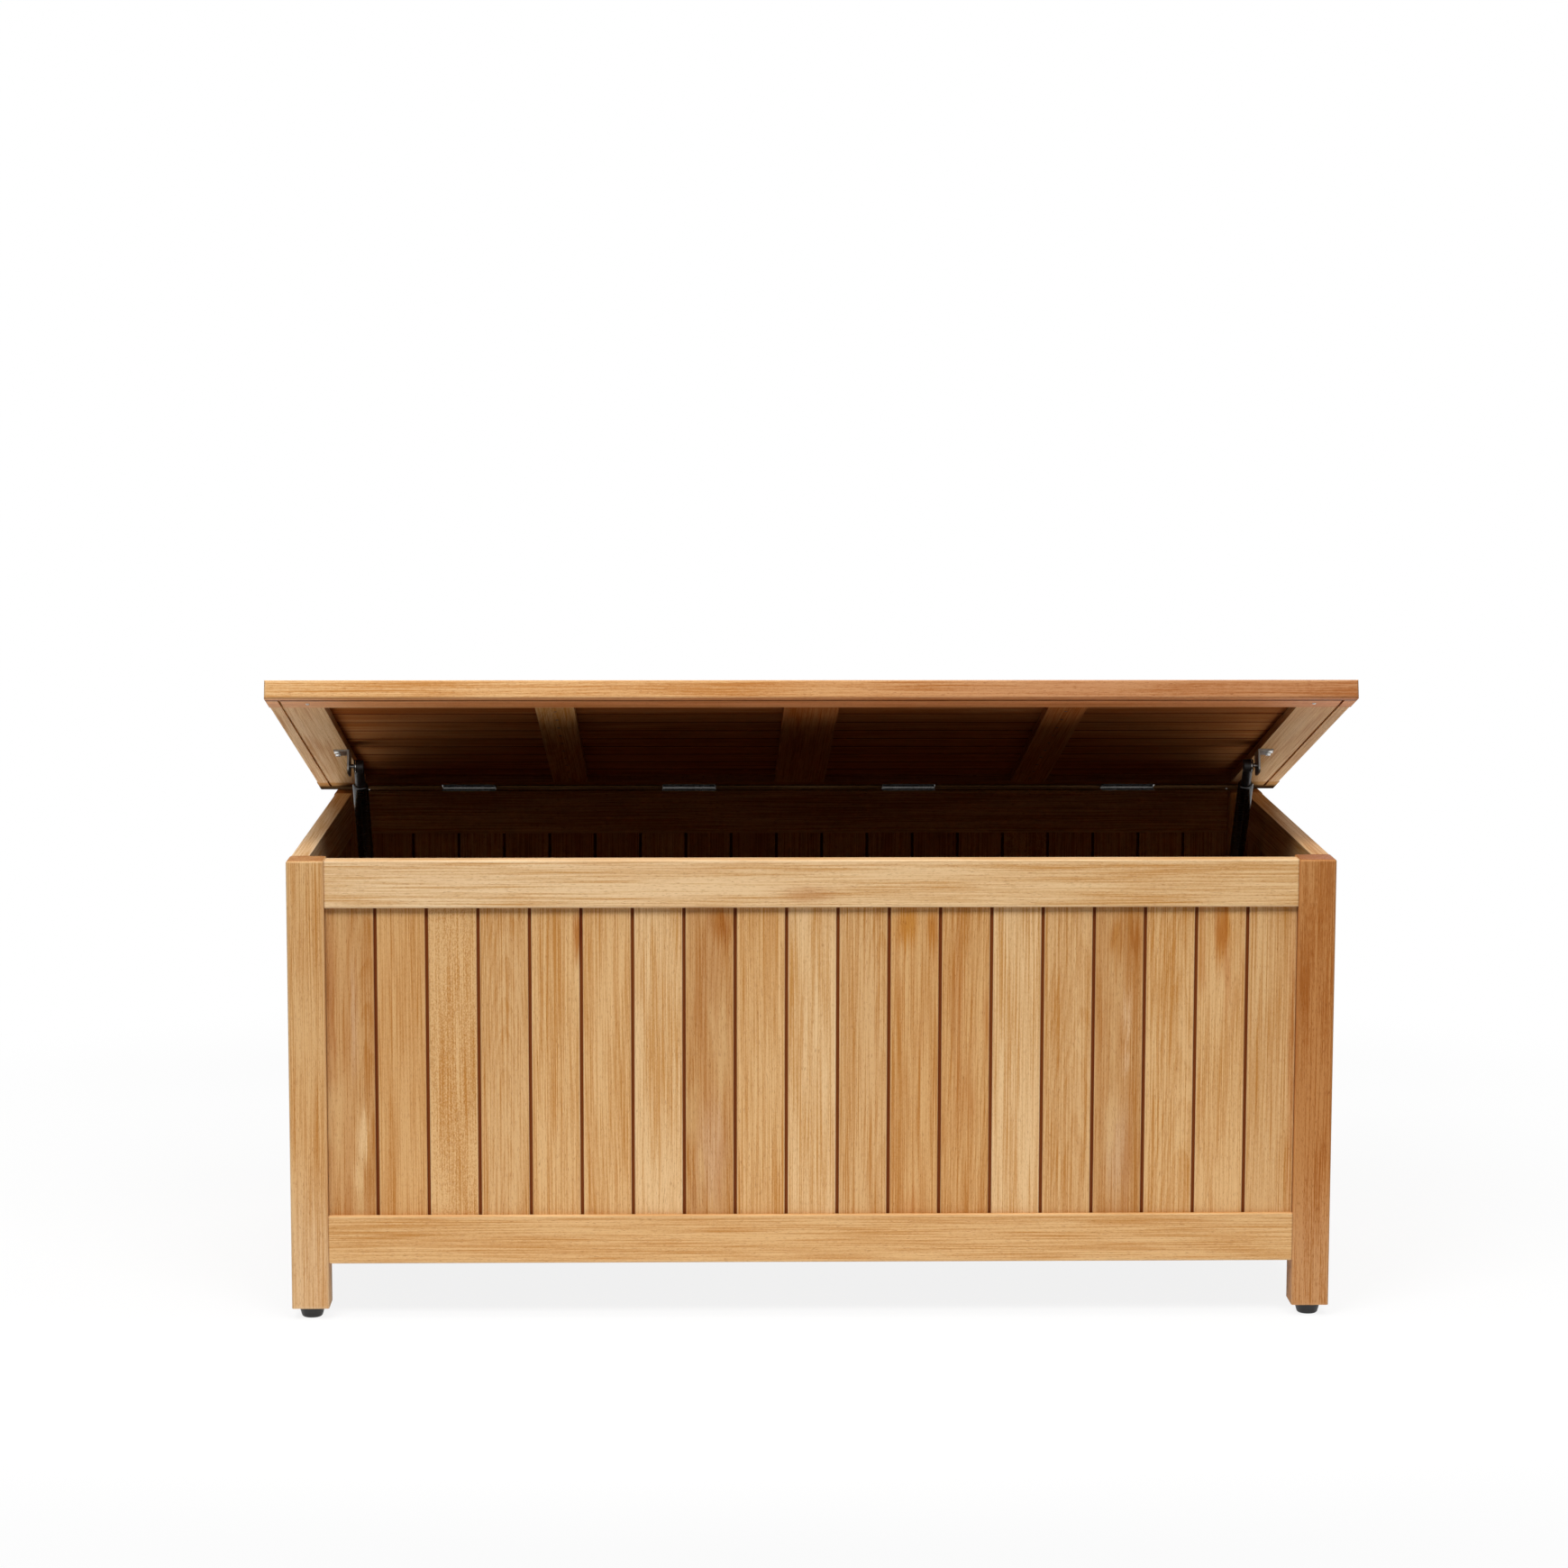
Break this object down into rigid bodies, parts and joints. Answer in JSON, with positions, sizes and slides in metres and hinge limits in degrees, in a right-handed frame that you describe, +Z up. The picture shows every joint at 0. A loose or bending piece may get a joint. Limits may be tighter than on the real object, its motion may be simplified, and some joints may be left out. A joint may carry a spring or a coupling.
{
  "type": "cushion storage box",
  "caption": "Timber frame-and-board storage chest with an overhanging lid hinged at the rear, held up by gas struts, standing on round glides.",
  "frame": {"origin": "on the floor, in the middle of the space taken up with the lid part open", "axes": "+X along the box, to the right seen from the front; +Y to the rear, where the hinges are; +Z up"},
  "size_m": [1.452, 0.7737, 0.8647],
  "materials": {
    "timber_pale": "oiled, straight grained, pale",
    "timber_dark": "oiled, reddish brown heartwood",
    "timber_board": "oiled, mixed boards",
    "zinc_steel": "zinc plated, satin",
    "zinc_screw": "zinc plated, bright",
    "bright_rod": "polished",
    "black_paint": "black, semi-gloss",
    "black_plastic": "black, matte"
  },
  "bodies": {
    "box": {"box_hinge_leaf_1": "zinc_steel", "box_hinge_leaf_2": "zinc_steel", "box_hinge_leaf_3": "zinc_steel", "box_hinge_leaf_4": "zinc_steel", "box_hinge_screws": "zinc_screw", "floor_cleats": "timber_pale", "floor_slats": "timber_pale", "foot_front_left": "black_plastic", "foot_front_right": "black_plastic", "foot_rear_left": "black_plastic", "foot_rear_right": "black_plastic", "front_boards": "timber_board", "front_bottom_rail": "timber_pale", "front_top_rail": "timber_pale", "hinge_pins": "zinc_steel", "left_boards": "timber_board", "left_bottom_rail": "timber_pale", "left_top_rail": "timber_pale", "plate_screws": "zinc_screw", "post_front_left": "timber_pale", "post_front_right": "timber_dark", "post_rear_left": "timber_dark", "post_rear_right": "timber_pale", "rear_boards": "timber_board", "rear_bottom_rail": "timber_pale", "rear_top_rail": "timber_pale", "right_boards": "timber_board", "right_bottom_rail": "timber_pale", "right_top_rail": "timber_pale", "strut_plate_left": "zinc_steel", "strut_plate_right": "zinc_steel"},
    "lid": {"lid_boards": "timber_board", "lid_centre_muntin": "timber_pale", "lid_front_rail": "timber_pale", "lid_hinge_leaf_1": "zinc_steel", "lid_hinge_leaf_2": "zinc_steel", "lid_hinge_leaf_3": "zinc_steel", "lid_hinge_leaf_4": "zinc_steel", "lid_hinge_screws": "zinc_screw", "lid_left_batten": "timber_pale", "lid_left_stile": "timber_pale", "lid_rear_rail": "timber_pale", "lid_right_batten": "timber_pale", "lid_right_stile": "timber_pale", "lid_screws": "zinc_screw", "strut_bracket_left": "zinc_steel", "strut_bracket_right": "zinc_steel"},
    "left_cylinder": {"strut_gland_left": "black_paint", "strut_tube_left": "black_paint", "strut_upper_socket_left": "black_paint"},
    "left_rod": {"strut_lower_socket_left": "black_paint", "strut_piston_left": "bright_rod", "strut_rod_left": "bright_rod"},
    "right_cylinder": {"strut_gland_right": "black_paint", "strut_tube_right": "black_paint", "strut_upper_socket_right": "black_paint"},
    "right_rod": {"strut_lower_socket_right": "black_paint", "strut_piston_right": "bright_rod", "strut_rod_right": "bright_rod"}
  },
  "joints": [
    {"name": "lid_hinge", "type": "hinge", "parent": "box", "child": "lid", "pos_m": [0, 0.35783, 0.6261], "axis": [-1, 0, 0], "range_deg": [-16.13, 63.87]},
    {"name": "left_rod_swing", "type": "hinge", "parent": "box", "child": "left_rod", "pos_m": [-0.638, 0.32083, 0.29255], "axis": [-1, 0, 0], "range_deg": [-8.16, 32.03]},
    {"name": "left_cylinder_swing", "type": "hinge", "parent": "lid", "child": "left_cylinder", "pos_m": [-0.638, 0.03046, 0.69996], "axis": [-1, 0, 0], "range_deg": [-32.03, 8.16]},
    {"name": "right_rod_swing", "type": "hinge", "parent": "box", "child": "right_rod", "pos_m": [0.638, 0.32083, 0.29255], "axis": [-1, 0, 0], "range_deg": [-8.16, 32.03]},
    {"name": "right_cylinder_swing", "type": "hinge", "parent": "lid", "child": "right_cylinder", "pos_m": [0.638, 0.03046, 0.69996], "axis": [-1, 0, 0], "range_deg": [-32.03, 8.16]}
  ],
  "couplings": [
    {"joint": "left_rod_swing", "follows": "lid_hinge", "ratio": 0.5},
    {"joint": "left_cylinder_swing", "follows": "lid_hinge", "ratio": -0.5},
    {"joint": "right_rod_swing", "follows": "lid_hinge", "ratio": 0.5},
    {"joint": "right_cylinder_swing", "follows": "lid_hinge", "ratio": -0.5}
  ]
}
